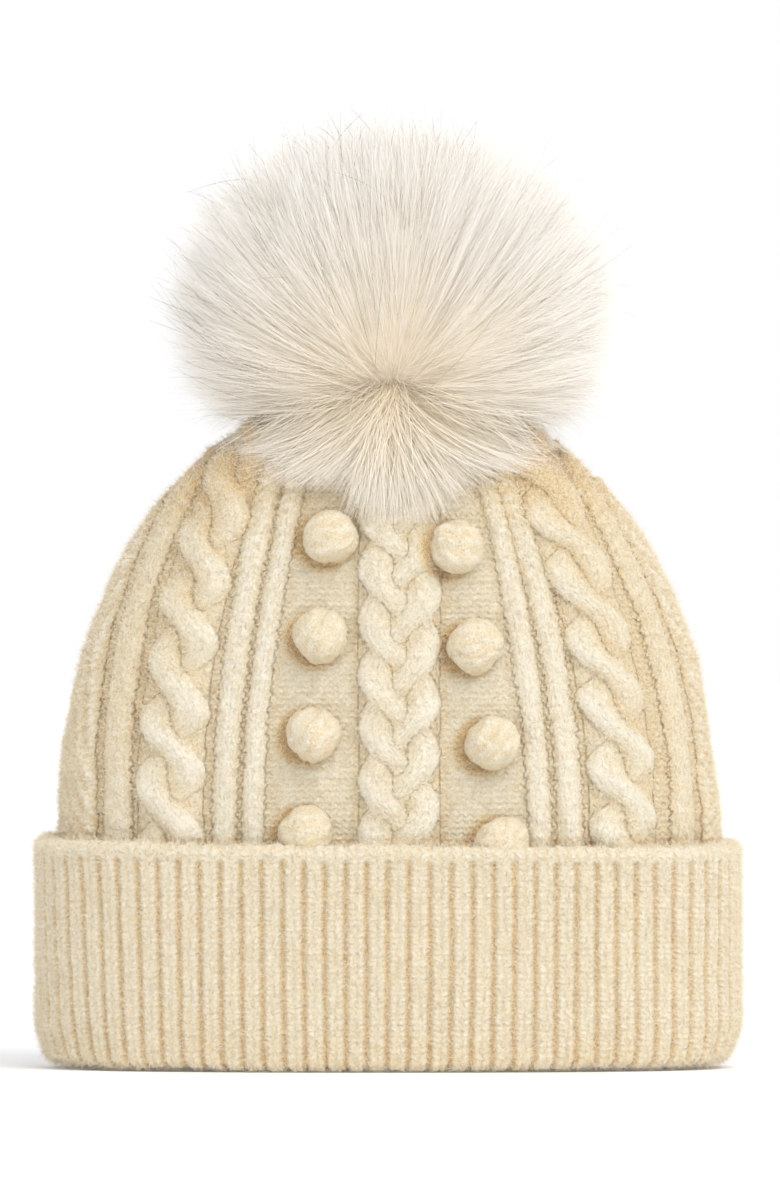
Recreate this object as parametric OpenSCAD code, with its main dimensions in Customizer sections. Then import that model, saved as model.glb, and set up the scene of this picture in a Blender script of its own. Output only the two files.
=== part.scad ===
// A pom pom beanie: a cable-knit crown, a turned-up ribbed cuff and a faux-fur pom that snaps off.
// Millimetres, +Z up, the front towards -Y, the origin at the centre of the cuff's underside.

/* [Knit body] */
// Half width of the body at the cuff, to its purl ground
body_half_w = 101; // [92:0.5:105]
// Half depth of the body at the cuff, to its purl ground
body_half_d = 46; // [42:0.5:52]
// Height of the crown's peak above the rest surface
crown_z = 207; // [200:0.5:212]
// Thickness of the knitted fabric
knit_t = 3.5; // [3:0.1:4]
// Squareness of the body's oval at the cuff, where 2 is an ellipse
oval_power = 2.5; // [2:0.1:3]

/* [Cuff] */
// Height of the turned-up cuff
cuff_h = 70; // [64:1:76]
// How far the cuff stands out from the body
cuff_out = 9.3; // [9:0.1:11]
// Thickness of the turned-up layer
cuff_t = 5.6; // [5.2:0.1:6]

/* [Cables and bobbles] */
// Half width of a rope cable
rope_half_w = 10.2; // [8:0.2:11]
// Height from one rope strand to the next
rope_pitch = 17.8; // [14:0.1:22]
// Half width of the centre braid
braid_half_w = 12; // [9:0.5:13]
// Height from one braid lobe to the next on the same side
braid_pitch = 15.5; // [12:0.1:20]
// How far the cables stand proud
cable_h = 4.6; // [3:0.1:5]
// Radius of a bobble
bobble_r = 8.1; // [6:0.1:8.6]
// Height from one bobble to the next
bobble_pitch = 30.2; // [26:0.1:32]
// Half width of a narrow rib
rib_half_w = 3.6; // [2.5:0.1:4]
// Half width of the rib outside each rope
edge_half_w = 4.6; // [3:0.1:5]
// How far a narrow rib stands proud
rib_h = 2.4; // [1.5:0.1:3]

/* [Pom] */
// Half width of the fur ball
pom_half_w = 67; // [62:0.5:70]
// Height of the top of the fur
pom_top_z = 296; // [290:1:300]
// Height of the fur ball's widest level
pom_mid_z = 236; // [232:1:240]
// Radius of the ball of backing cloth that carries the fur
backing_r = 26; // [24:0.5:28]

/* [Snap fastener] */
// Radius of the snap's stud flange and socket
snap_r = 6.25; // [6:0.05:6.5]
// Radius of the stud's head
stud_head_r = 2.95; // [2.8:0.05:3]
// Room around the stud's head in the socket and the ring spring
snap_play = 0.05; // [0.03:0.01:0.08]

/* [Hidden] */

SIDES = 72;               // points round the oval of the body and the cuff
side_power = 0.82;        // how the half width closes towards the crown
depth_power = 0.54;       // how the half depth closes towards the crown
crown_phi = 86;           // crown angle at which the gathered top begins
eye_r = 3;                // radius of the eye that the gathering leaves in the crown
body_foot_z = cuff_h - 2; // where the body joins the cuff's inner layer
root = 1;                 // how deep a raised strip is rooted in the ground
bobble_root = 3.1;        // how deep a bobble is rooted in the ground
column_top_z = 190;       // height at which a column reaches its top x
strip_foot_z = cuff_h + 0.4; // where the raised strips start, just over the cuff
strip_top_z = 194;        // where the inner strips end, under the fur
edge_top_z = 176;         // where the edge ribs end, short of the sides
strip_narrowing = 0.3;    // share of its width that a strip loses by its top
dome_rise = crown_z - cuff_h;
body_top_z = cuff_h + dome_rise * sin(crown_phi);

// Columns of raised stitches: x at the cuff, x near the crown, and how late the column bends in
ROPE_L = [-67.7, -44.8, 2.5];
ROPE_R = [73, 43.6, 2.1];
BRAID = [3.5, 3.5, 1];
BOBBLES_L = [-25, -15, 1.3];
BOBBLES_R = [35.3, 15, 1.3];
RIBS_L = [[-51.8, -34.4, 2.1], [-42, -26.5, 2.1]];
RIBS_R = [[47, 29.5, 1.7], [56.8, 33.8, 1.9]];
EDGE_L = [-84, -56.5, 3];
EDGE_R = [91, 54, 2.3];
bobble_foot_l = 74; // height of the lowest bobble on each side
bobble_foot_r = 71;

KNIT = "#F0E4C8";
KNIT_DEEP = "#E4D3AE";
YARN = "#DCCBA4";
LABEL = "#F7F4EC";
STEEL = "#B9BCC0";
FUR = "#F5F0E6";
BACKING = "#E9E1CF";

// ---- The body's surface ----

// Crown angle at a height: 0 at the cuff and below, 90 at the peak
function crown_angle(z) = asin(max(0, min(1, (z - cuff_h) / dome_rise)));

// Power of the oval at a crown angle: it turns round towards the top
function oval_at(phi) = oval_power - (oval_power - 2) * sin(phi);

// [half width, half depth, height] at a crown angle, on a surface inset from the purl ground
function dome(phi, inset = 0) = [
    (body_half_w - inset) * pow(cos(phi), side_power),
    (body_half_d - inset) * pow(cos(phi), depth_power),
    cuff_h + (dome_rise - inset) * sin(phi)
];

// Distance of the front surface from the XZ plane
function front_depth(x, z) =
    let (phi = crown_angle(z), d = dome(phi), m = oval_at(phi))
    d[1] * pow(max(0, 1 - pow(abs(x) / d[0], m)), 1 / m);

// Unit vector out of the front surface
function front_normal(x, z) =
    let (
        e = 0.2,
        sx = (front_depth(x + e, z) - front_depth(x - e, z)) / (2 * e),
        sz = (front_depth(x, z + e) - front_depth(x, z - e)) / (2 * e),
        n = [-sx, -1, -sz]
    )
    n / norm(n);

// A point off the front surface by h
function off_front(x, z, h) = [x, -front_depth(x, z), z] + h * front_normal(x, z);

// x of a column of stitches at a height
function column_x(c, z) =
    c[0] + (c[1] - c[0]) * pow(max(0, (z - cuff_h) / (column_top_z - cuff_h)), c[2]);

// ---- Solids from rings of points ----

// One oval ring
function oval(a, b, m, z) = [
    for (i = [0 : SIDES - 1])
        let (t = 360 * i / SIDES, c = cos(t), s = sin(t))
        [a * sign(c) * pow(abs(c), 2 / m), b * sign(s) * pow(abs(s), 2 / m), z]
];

function dome_ring(phi, inset) =
    let (d = dome(phi, inset))
    oval(d[0], d[1], oval_at(phi), d[2]);

// A closed band: the rings join into a loop, as on a torus
module band(rings) {
    n = len(rings[0]);
    count = len(rings);
    polyhedron(
        points = [for (r = rings) each r],
        faces = [
            for (k = [0 : count - 1], i = [0 : n - 1])
                let (
                    a = k * n + i,
                    b = k * n + (i + 1) % n,
                    c = ((k + 1) % count) * n + (i + 1) % n,
                    d = ((k + 1) % count) * n + i
                )
                each [[a, c, b], [a, d, c]]
        ]
    );
}

// A closed bar: the rings follow one another and both ends are capped
module bar(rings) {
    n = len(rings[0]);
    count = len(rings);
    polyhedron(
        points = [for (r = rings) each r],
        faces = [
            for (k = [0 : count - 2], i = [0 : n - 1])
                let (a = k * n + i, b = k * n + (i + 1) % n, c = b + n, d = a + n)
                each [[a, b, c], [a, c, d]],
            for (i = [1 : n - 2])
                each [
                    [0, i + 1, i],
                    [(count - 1) * n, (count - 1) * n + i, (count - 1) * n + i + 1]
                ]
        ]
    );
}

// ---- Raised stitches ----

// How the height of a cable varies along z and across it, where s runs from -1 to 1
function rope_wave(z, s) = 0.72 + 0.28 * cos(360 * (z / rope_pitch + 0.45 * s));
function braid_wave(z, s) = 0.78 + 0.22 * s * cos(360 * z / braid_pitch);
function cable_wave(kind, z, s) =
    kind == "rope" ? rope_wave(z, s) : kind == "braid" ? braid_wave(z, s) : 1;

// A raised strip that follows a column up the front, in sections about step apart
module strip(column, half_w, height, step, kind = "plain", top_z = strip_top_z) {
    across = kind == "plain" ? 4 : 8;
    rise = top_z - strip_foot_z;
    count = ceil(rise / step);
    bar([
        for (k = [0 : count])
            let (
                z = strip_foot_z + rise * k / count,
                x = column_x(column, z),
                reach = half_w * (1 - strip_narrowing * pow(k / count, 3))
            )
            [
                for (j = [0 : across])
                    let (s = 2 * j / across - 1, h = height * sqrt(max(0, 1 - s * s)))
                    off_front(x + s * reach, z, h * cable_wave(kind, z, s)),
                for (s = [0.9, 0, -0.9])
                    off_front(x + s * reach, z, -root)
            ]
    ]);
}

// Four bobbles up a column; the cuff's edge presses the lowest one flat underneath
module bobbles(column, foot_z) {
    color(KNIT)
    difference() {
        union() {
            for (k = [0 : 3]) {
                z = foot_z + bobble_pitch * k;
                translate(off_front(column_x(column, z), z, bobble_r - bobble_root))
                    sphere(r = bobble_r, $fn = 48);
            }
        }
        translate([-body_half_w, -2 * body_half_d, 0])
            cube([2 * body_half_w, 2 * body_half_d, strip_foot_z]);
    }
}

module rope(column) {
    color(KNIT) strip(column, rope_half_w, cable_h, rope_pitch / 4, "rope");
}

module braid() {
    color(KNIT) strip(BRAID, braid_half_w, cable_h, braid_pitch / 4, "braid");
}

module ribs(columns, half_w = rib_half_w, top_z = strip_top_z) {
    rib_step = 9;
    color(KNIT)
    for (c = columns) strip(c, half_w, rib_h, rib_step, top_z = top_z);
}

// The back carries the same pattern as the front
module on_back() {
    rotate([0, 0, 180]) children();
}

// ---- Knitted shells ----

module knit_body() {
    outer = [for (phi = [0 : 5 : 75]) phi];
    steep = [79, 83, crown_phi];
    up = concat(outer, steep);
    inner = [for (phi = [80 : -10 : 0]) phi];
    foot = [body_half_w, body_half_d];
    color(KNIT_DEEP)
    band(concat(
        [oval(foot[0], foot[1], oval_power, body_foot_z)],
        [for (phi = up) dome_ring(phi, 0)],
        [oval(eye_r, eye_r, 2, body_top_z)],
        [oval(eye_r, eye_r, 2, body_top_z - knit_t)],
        [dome_ring(crown_phi, knit_t)],
        [for (phi = inner) dome_ring(phi, knit_t)],
        [oval(foot[0] - knit_t, foot[1] - knit_t, oval_power, body_foot_z)]
    ));
}

// One rib fabric folded up on itself: inner layer, fold and turned-up layer, as offsets from the ground
module ribbed_cuff() {
    turn_in = cuff_out - cuff_t;
    section = [
        [-knit_t, body_foot_z], [-knit_t, 3], [-knit_t + 0.8, 0.8], [-knit_t + 2.6, 0],
        [cuff_out - 2.6, 0], [cuff_out - 0.8, 0.8], [cuff_out, 3],
        [cuff_out, cuff_h - 5], [cuff_out - 0.9, cuff_h - 1.2], [cuff_out - 2, cuff_h],
        [turn_in + 0.9, cuff_h - 1.2], [turn_in, cuff_h - 5],
        [turn_in, 7], [turn_in / 2, 5], [0, 7], [0, body_foot_z]
    ];
    color(KNIT)
    band([for (p = section) oval(body_half_w + p[0], body_half_d + p[0], oval_power, p[1])]);
}

// The yarn that draws the crown closed, sunk in the fabric round the eye
module crown_gather_yarn() {
    color(YARN)
    translate([0, 0, body_top_z - 0.9])
    rotate_extrude($fn = 48) translate([5.5, 0]) circle(r = 1, $fn = 24);
}

// The seam's turned-in edges, inside the hat at the right-hand side
module side_seam() {
    seam_half_w = 2.4;
    seam_h = 2;
    color(YARN)
    bar([
        for (z = [8 : 12 : 176])
            let (d = dome(crown_angle(z), knit_t), x = d[0])
            [
                [x + 0.8, -seam_half_w, z], [x + 0.8, seam_half_w, z],
                [x - seam_h, seam_half_w - 1, z], [x - seam_h, -seam_half_w + 1, z]
            ]
    ]);
}

// A stitch through both layers at each side holds the cuff up, with a knot at each end
module cuff_tacks() {
    tack_r = 0.6;
    knot_r = 1.1;
    knot_l = 1.8;
    tack_z = cuff_h - 9;
    off_seam = 6;
    inside = body_half_w - knit_t - knot_l / 2;
    outside = body_half_w + cuff_out - knot_l / 2;
    color(YARN)
    for (turn = [0, 180])
        rotate([0, 0, turn]) translate([0, off_seam, tack_z]) rotate([0, 90, 0]) {
            translate([0, 0, inside]) cylinder(r = tack_r, h = outside - inside, $fn = 10);
            for (x = [inside, outside]) translate([0, 0, x]) cylinder(r = knot_r, h = knot_l, $fn = 10);
        }
}

// A blank folded ribbon, its top end stitched to the inside of the back
module care_label() {
    label_w = 22;
    label_l = 30;
    label_t = 1;
    top_z = 104;
    y = front_depth(0, top_z) - knit_t - 1.4;
    color(LABEL) {
        translate([-label_w / 2, y - label_t, top_z - label_l]) cube([label_w, label_t, label_l]);
        translate([-label_w / 2, y - 0.2, top_z - 3]) cube([label_w, 2.2, 3]);
    }
}

// ---- Snap fastener, all turned about +Z ----

flange_gap = 1.6; // room over the crown's cloth for the stud to tip
post_gap = 2;     // the same under the cloth
flange_t = 0.8;
flange_z = body_top_z + flange_gap;
neck_z = flange_z + flange_t;
neck_h = 1.6;
neck_r = stud_head_r - 0.45;
head_h = 2;
post_r = 1.6;
post_foot_z = body_top_z - knit_t - post_gap;
ring_wire_r = 0.4;
ring_r = stud_head_r + snap_play + ring_wire_r;
ring_z = neck_z + 1;
socket_z = neck_z + 0.3;
socket_h = 4.4;
bore_h = 3.8;
cloth_z = socket_z + socket_h;
cloth_t = 1.2;
base_cloth_r = 16;
cap_r = 7.5;
cap_t = 1.2;

module snap_stud() {
    color(STEEL) {
        translate([0, 0, flange_z]) cylinder(r = snap_r, h = flange_t, $fn = 64);
        translate([0, 0, neck_z - 0.1]) cylinder(r = neck_r, h = neck_h + 0.2, $fn = 48);
        translate([0, 0, neck_z + neck_h]) cylinder(r = stud_head_r, h = head_h - 0.6, $fn = 48);
        translate([0, 0, neck_z + neck_h + head_h - 0.6])
            cylinder(r1 = stud_head_r, r2 = stud_head_r - 0.6, h = 0.6, $fn = 48);
        translate([0, 0, post_foot_z]) cylinder(r = post_r, h = flange_z - post_foot_z + 0.1, $fn = 48);
    }
}

// The cap inside the crown that the stud's post is riveted to
module stud_backing_cap() {
    color(STEEL)
    translate([0, 0, post_foot_z - cap_t]) cylinder(r1 = cap_r - 0.8, r2 = cap_r, h = cap_t, $fn = 64);
}

module snap_ring_spring() {
    color(STEEL)
    translate([0, 0, ring_z])
    rotate_extrude($fn = 64) translate([ring_r, 0]) circle(r = ring_wire_r, $fn = 24);
}

module snap_socket() {
    groove_r = ring_r + ring_wire_r + 0.1;
    groove_h = 2 * ring_wire_r + 0.3;
    color(STEEL)
    translate([0, 0, socket_z])
    difference() {
        cylinder(r = snap_r, h = socket_h, $fn = 64);
        translate([0, 0, -1]) cylinder(r = stud_head_r + 0.15, h = bore_h + 1, $fn = 64);
        translate([0, 0, ring_z - socket_z - groove_h / 2]) cylinder(r = groove_r, h = groove_h, $fn = 64);
    }
}

// The cap on the pom's side of the base cloth, with its rivet down to the socket
module pom_base_cap() {
    color(STEEL) {
        translate([0, 0, cloth_z + cloth_t]) cylinder(r1 = cap_r, r2 = cap_r - 0.8, h = cap_t, $fn = 64);
        translate([0, 0, cloth_z]) cylinder(r = post_r, h = cloth_t + 0.1, $fn = 48);
    }
}

// The disc of cloth that closes the pom underneath
module pom_base_cloth() {
    color(BACKING)
    translate([0, 0, cloth_z])
    difference() {
        cylinder(r = base_cloth_r, h = cloth_t, $fn = 72);
        translate([0, 0, -1]) cylinder(r = post_r, h = cloth_t + 2, $fn = 48);
    }
}

// ---- Pom ball ----

backing_t = 1;
ball_z = cloth_z + cloth_t + 2.1 + cap_t + backing_r; // the ball clears the cap as it sways

module pom_gather_thread() {
    gather_r = 9.5;
    color(YARN)
    translate([0, 0, ball_z - sqrt(backing_r * backing_r - gather_r * gather_r)])
    rotate_extrude($fn = 48) translate([gather_r, 0]) circle(r = 0.8, $fn = 24);
}

module pom_backing() {
    color(BACKING)
    translate([0, 0, ball_z])
    difference() {
        sphere(r = backing_r, $fn = 64);
        sphere(r = backing_r - backing_t, $fn = 64);
    }
}

module pom_stuffing() {
    color(LABEL)
    translate([0, 0, ball_z]) sphere(r = backing_r - backing_t, $fn = 64);
}

// The fur pile round the backing ball, hollowed underneath so that it clears the crown at full tilt
module pom_fur() {
    under_r = 58;       // where the hollow meets the outside
    under_z = 210;
    recess_r = 18;      // room for the base cloth
    recess_top_z = cloth_z + 5;
    mid_power = 2.15;
    top_h = pom_top_z - pom_mid_z;
    low_h = 56;         // height of the lower half's ellipse, cut off by the hollow
    rim_angle = -asin((pom_mid_z - under_z) / low_h);
    // Outline from the top down to the rim of the hollow, by the angle from the widest level
    outline = [
        for (a = [90 : -6 : 0])
            [pom_half_w * pow(cos(a), 2 / mid_power), pom_mid_z + top_h * pow(sin(a), 2 / mid_power)],
        for (a = [-6 : -6 : rim_angle]) [pom_half_w * cos(a), pom_mid_z + low_h * sin(a)],
        [under_r, under_z],
        [recess_r, cloth_z + 0.2],
        [recess_r, recess_top_z],
        [0, recess_top_z]
    ];
    color(FUR)
    difference() {
        rotate_extrude($fn = 72) polygon(outline);
        translate([0, 0, ball_z]) sphere(r = backing_r, $fn = 64);
        translate([0, 0, recess_top_z - 1]) cylinder(r = recess_r, h = 3, $fn = 72);
    }
}

knit_body();
ribbed_cuff();
crown_gather_yarn();
side_seam();
cuff_tacks();
care_label();
rope(ROPE_L);  // front_rope_left
rope(ROPE_R);  // front_rope_right
braid();  // front_braid
bobbles(BOBBLES_L, bobble_foot_l);  // front_bobbles_left
bobbles(BOBBLES_R, bobble_foot_r);  // front_bobbles_right
ribs(RIBS_L);  // front_ribs_left
ribs(RIBS_R);  // front_ribs_right
ribs([EDGE_L, EDGE_R], edge_half_w, edge_top_z);  // front_edge_ribs
on_back() rope(ROPE_L);  // back_rope_left
on_back() rope(ROPE_R);  // back_rope_right
on_back() braid();  // back_braid
on_back() bobbles(BOBBLES_L, bobble_foot_l);  // back_bobbles_left
on_back() bobbles(BOBBLES_R, bobble_foot_r);  // back_bobbles_right
on_back() ribs(RIBS_L);  // back_ribs_left
on_back() ribs(RIBS_R);  // back_ribs_right
on_back() ribs([EDGE_L, EDGE_R], edge_half_w, edge_top_z);  // back_edge_ribs
stud_backing_cap();
snap_stud();
snap_ring_spring();
snap_socket();
pom_base_cap();
pom_base_cloth();
pom_gather_thread();
pom_backing();
pom_stuffing();
pom_fur();
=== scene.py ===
"""Looks of the pom pom beanie: knitted body and cuff, bobbles, faux-fur pom and snap."""

import math

import bpy
import numpy as np
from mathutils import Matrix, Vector


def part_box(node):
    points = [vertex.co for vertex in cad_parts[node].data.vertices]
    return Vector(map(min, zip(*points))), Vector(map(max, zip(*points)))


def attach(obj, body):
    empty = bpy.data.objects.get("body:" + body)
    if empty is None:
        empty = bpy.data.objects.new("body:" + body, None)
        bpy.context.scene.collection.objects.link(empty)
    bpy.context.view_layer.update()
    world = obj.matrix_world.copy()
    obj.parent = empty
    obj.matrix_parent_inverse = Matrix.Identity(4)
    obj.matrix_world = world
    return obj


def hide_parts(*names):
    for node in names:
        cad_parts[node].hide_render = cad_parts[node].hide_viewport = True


MM = 0.001
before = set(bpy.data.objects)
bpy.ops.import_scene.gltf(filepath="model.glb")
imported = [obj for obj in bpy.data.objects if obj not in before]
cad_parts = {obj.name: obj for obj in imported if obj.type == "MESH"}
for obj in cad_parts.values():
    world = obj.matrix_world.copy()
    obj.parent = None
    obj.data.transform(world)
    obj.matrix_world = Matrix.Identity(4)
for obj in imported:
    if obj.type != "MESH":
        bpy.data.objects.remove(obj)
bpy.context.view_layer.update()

# ---- Sizes, in metres, from the frame ----

_, body_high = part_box("knit_body")
_, cuff_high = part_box("ribbed_cuff")
backing_low, backing_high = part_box("pom_backing")

BODY_W = body_high.x  # half width and half depth of the purl ground at the cuff
BODY_D = body_high.y
CUFF_Z = cuff_high.z  # height of the cuff
CUFF_OUT = cuff_high.x - body_high.x  # how far the cuff stands out from the body
KNIT_T = 3.5 * MM  # thickness of the knitted fabric
OVAL_POWER = 2.5  # squareness of the oval at the cuff
OVAL_STEPS = 1440
SIDE_POWER = 0.82  # how the half width closes towards the crown
DEPTH_POWER = 0.54  # how the half depth closes towards the crown
CROWN_PHI = math.radians(86)  # crown angle at which the gathered top begins
DOME_RISE = (body_high.z - CUFF_Z) / math.sin(CROWN_PHI)
COLUMN_TOP_Z = 190 * MM  # height at which a column reaches its top x

# Columns of raised stitches, as on the CAD: x at the cuff, x near the crown, how late the column bends in
ROPE_L = (-67.7, -44.8, 2.5)
ROPE_R = (73.0, 43.6, 2.1)
BRAID = (3.5, 3.5, 1.0)
BOBBLES_L = (-25.0, -15.0, 1.3)
BOBBLES_R = (35.3, 15.0, 1.3)
RIBS = (  # with the half width of each rib
    ((-50.6, -34.4, 2.1), 4.1),
    ((-41.8, -26.5, 2.1), 3.5),
    ((47.0, 29.5, 1.7), 3.7),
    ((56.4, 33.8, 1.9), 4.1),
)
EDGE_L = (-84.0, -56.5, 3.0)
EDGE_R = (91.5, 55.0, 2.3)
SEED_L = (-90.5, -60.0, 3.0)  # inner border of the seed-stitch side panel
SEED_R = (96.8, 58.0, 2.3)
BOBBLE_FOOT_L = 74 * MM
BOBBLE_FOOT_R = 71 * MM
BOBBLE_PITCH = 30.2 * MM
BOBBLE_COUNT = 4  # in a column

# ---- Camera, at the photograph's angle: level, straight at the front ----

PX = 0.309 * MM  # the object's size in one pixel of the 780 by 1196 frame
FRAME_H = 1196
CAMERA_DISTANCE = 4.5  # from the front of the body
CAMERA_X = 0.6 * MM
CAMERA_Z = 146.5 * MM
SENSOR_WIDTH = 36  # millimetres


def make_camera():
    data = bpy.data.cameras.new("camera")
    data.sensor_width = SENSOR_WIDTH
    data.lens = SENSOR_WIDTH * CAMERA_DISTANCE / (FRAME_H * PX)
    camera = bpy.data.objects.new("camera", data)
    camera.location = (CAMERA_X, -CAMERA_DISTANCE - BODY_D, CAMERA_Z)
    camera.rotation_euler = (math.radians(90), 0, 0)
    bpy.context.scene.collection.objects.link(camera)
    bpy.context.scene.camera = camera


make_camera()

# ---- Small tools ----


def smoothstep(low, high, x):
    t = np.clip((x - low) / (high - low), 0, 1)
    return t * t * (3 - 2 * t)


def unit(v):
    return v / np.maximum(np.linalg.norm(v, axis=-1, keepdims=True), 1e-12)


def lattice(i, j, k, seed):
    """A repeatable number from -1 to 1 for each whole-number point: large odd factors scatter its bits."""
    h = i * 374761393 + j * 668265263 + k * 2147483647 + seed * 1274126177
    h = (h ^ (h >> 13)) * 1274126177
    h = h ^ (h >> 16)
    return (h & 0xFFFF) / 32767.5 - 1.0


def noise(points, size, seed):
    """Smooth noise from -1 to 1 at points in metres, with features about size wide."""
    q = np.asarray(points) / size + 1000.0
    base = np.floor(q).astype(np.int64)
    f = q - base
    f = f * f * (3 - 2 * f)
    total = 0.0
    for a in (0, 1):
        for b in (0, 1):
            for c in (0, 1):
                weight = (
                    (f[..., 0] if a else 1 - f[..., 0])
                    * (f[..., 1] if b else 1 - f[..., 1])
                    * (f[..., 2] if c else 1 - f[..., 2])
                )
                total = total + weight * lattice(
                    base[..., 0] + a, base[..., 1] + b, base[..., 2] + c, seed
                )
    return total


def bumps(points, *layers):
    """Noise in layers of (height, size, seed), with heights and sizes in millimetres."""
    return sum(height * noise(points, size * MM, seed) for height, size, seed in layers) * MM


def add_mesh(name, points, faces, attributes=None, smooth=True):
    """A mesh object from numpy arrays. Each attribute holds one number or three for each point."""
    mesh = bpy.data.meshes.new(name)
    points = np.asarray(points, np.float32).reshape(-1, 3)
    faces = np.asarray(faces, np.int32)
    corners = faces.shape[1]
    mesh.vertices.add(len(points))
    mesh.vertices.foreach_set("co", points.ravel())
    mesh.loops.add(faces.size)
    mesh.loops.foreach_set("vertex_index", faces.ravel())
    mesh.polygons.add(len(faces))
    mesh.polygons.foreach_set("loop_start", np.arange(0, faces.size, corners, dtype=np.int32))
    mesh.polygons.foreach_set("use_smooth", np.full(len(faces), smooth))
    mesh.update(calc_edges=True)
    for key, values in (attributes or {}).items():
        values = np.asarray(values, np.float32)
        if values.size == len(points):
            mesh.attributes.new(key, "FLOAT", "POINT").data.foreach_set("value", values.ravel())
        else:
            mesh.attributes.new(key, "FLOAT_VECTOR", "POINT").data.foreach_set("vector", values.ravel())
    piece = bpy.data.objects.new(name, mesh)
    bpy.context.scene.collection.objects.link(piece)
    return piece


def grid_faces(p, around=True, start=0):
    """Quads of a grid of points (rows, columns, 3). With around, each row closes on itself."""
    rows, columns = p.shape[:2]
    i = np.arange(rows - 1)[:, None] * columns
    j = np.arange(columns if around else columns - 1)[None, :]
    k = (j + 1) % columns
    quads = np.stack([i + j, i + k, i + columns + k, i + columns + j], -1)
    return quads.reshape(-1, 4) + start


def grid_normals(p, around=True):
    """Unit normals of a grid of points (rows, columns, 3), to the right of a row and up."""
    if around:
        along = np.roll(p, -1, 1) - np.roll(p, 1, 1)
    else:
        along = np.gradient(p, axis=1)
    up = np.gradient(p, axis=0)
    return unit(np.cross(along, up))


def turns_of(count):
    """Angles evenly spaced round a circle."""
    return np.linspace(0, 2 * math.pi, count, endpoint=False)


def ball_grid(rows, columns, lowest):
    """Directions in rows from the top down to an angle, with the angle from the top and the turn of each."""
    polar = np.linspace(0.01, lowest, rows)[:, None]
    turn = turns_of(columns)[None, :]
    ring = np.sin(polar)
    n = np.stack([ring * np.cos(turn), ring * np.sin(turn), np.cos(polar) * np.ones_like(turn)], -1)
    return n, polar, turn


def blur(field, reach):
    """Box blur of a grid that closes on itself along its rows."""
    out = field.copy()
    for axis in (0, 1):
        total = np.zeros_like(out)
        for shift in range(-reach, reach + 1):
            if axis:
                total += np.roll(out, shift, 1)
            else:
                index = np.clip(np.arange(len(out)) + shift, 0, len(out) - 1)
                total += out[index]
        out = total / (2 * reach + 1)
    return out


# ---- Material helpers ----


class Nodes:
    """Builds one material's nodes."""

    def __init__(self, name):
        self.material = bpy.data.materials.new(name)
        self.material.use_nodes = True
        self.tree = self.material.node_tree
        self.shader = self.tree.nodes["Principled BSDF"]

    def put(self, kind, **settings):
        node = self.tree.nodes.new(kind)
        for key, value in settings.items():
            setattr(node, key, value)
        return node

    def feed(self, socket, value):
        if isinstance(value, bpy.types.NodeSocket):
            self.tree.links.new(value, socket)
        else:
            socket.default_value = value

    def math(self, operation, a, b=0.0, c=0.0):
        node = self.put("ShaderNodeMath", operation=operation)
        for socket, value in zip(node.inputs, (a, b, c)):
            self.feed(socket, value)
        return node.outputs[0]

    def times(self, a, b):
        return self.math("MULTIPLY", a, b)

    def minus(self, a, b):
        return self.math("SUBTRACT", a, b)

    def weigh(self, value, weight, rest):
        """value from its middle, times weight, plus rest."""
        return self.math("MULTIPLY_ADD", self.minus(value, 0.5), weight, rest)

    def attribute(self, name):
        return self.put("ShaderNodeAttribute", attribute_name=name)

    def coordinates(self, scale):
        """Object coordinates times scale, in turns per metre."""
        place = self.put("ShaderNodeTexCoord")
        mapping = self.put("ShaderNodeMapping")
        mapping.inputs["Scale"].default_value = scale
        self.tree.links.new(place.outputs["Object"], mapping.inputs["Vector"])
        return mapping.outputs[0]

    def split(self, vector):
        node = self.put("ShaderNodeSeparateXYZ")
        self.tree.links.new(vector, node.inputs[0])
        return node.outputs

    def noise(self, vector, scale, detail=2.0, roughness=0.5):
        node = self.put("ShaderNodeTexNoise")
        self.feed(node.inputs["Vector"], vector)
        node.inputs["Scale"].default_value = scale
        node.inputs["Detail"].default_value = detail
        node.inputs["Roughness"].default_value = roughness
        return node.outputs["Fac"]

    def ramp(self, factor, stops):
        node = self.put("ShaderNodeValToRGB")
        self.feed(node.inputs[0], factor)
        elements = node.color_ramp.elements
        while len(elements) < len(stops):
            elements.new(0.5)
        for element, (position, colour) in zip(elements, stops):
            element.position = position
            element.color = (*colour, 1)
        return node.outputs[0]

    def mix(self, factor, a, b, blend="MIX"):
        node = self.put("ShaderNodeMix", data_type="RGBA", blend_type=blend)
        self.feed(node.inputs[0], factor)
        for socket, value in ((node.inputs[6], a), (node.inputs[7], b)):
            self.feed(socket, value if isinstance(value, bpy.types.NodeSocket) else (*value, 1))
        return node.outputs[2]

    def bump(self, height, distance, strength=1.0, before=None):
        node = self.put("ShaderNodeBump")
        self.feed(node.inputs["Height"], height)
        node.inputs["Distance"].default_value = distance
        node.inputs["Strength"].default_value = strength
        if before is not None:
            self.tree.links.new(before, node.inputs["Normal"])
        return node.outputs[0]

    def finish(self, colour=None, normal=None, **values):
        """Sets the shader: linked colour and normal, and plain values on its own sockets."""
        if colour is not None:
            self.feed(self.shader.inputs["Base Color"], colour)
        if normal is not None:
            self.tree.links.new(normal, self.shader.inputs["Normal"])
        for key, value in values.items():
            self.shader.inputs[key.replace("_", " ")].default_value = value
        return self.material


# Knit colours: pale cream on the tops; tan and deep tan are painted shade for the creases and stitch dips.
CREAM_LIGHT = (0.945, 0.895, 0.77)
CREAM = (0.855, 0.76, 0.56)
SHADE_TAN = (0.80, 0.62, 0.355)
DEEP_SHADE_TAN = (0.64, 0.43, 0.20)
TONE_SHADE = (0.85, 0.74, 0.56)  # darkens and warms fibres by their random tone and their painted shade
STEEL = (0.66, 0.65, 0.62)
TURNING_PITCH = 0.12 * MM


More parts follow.
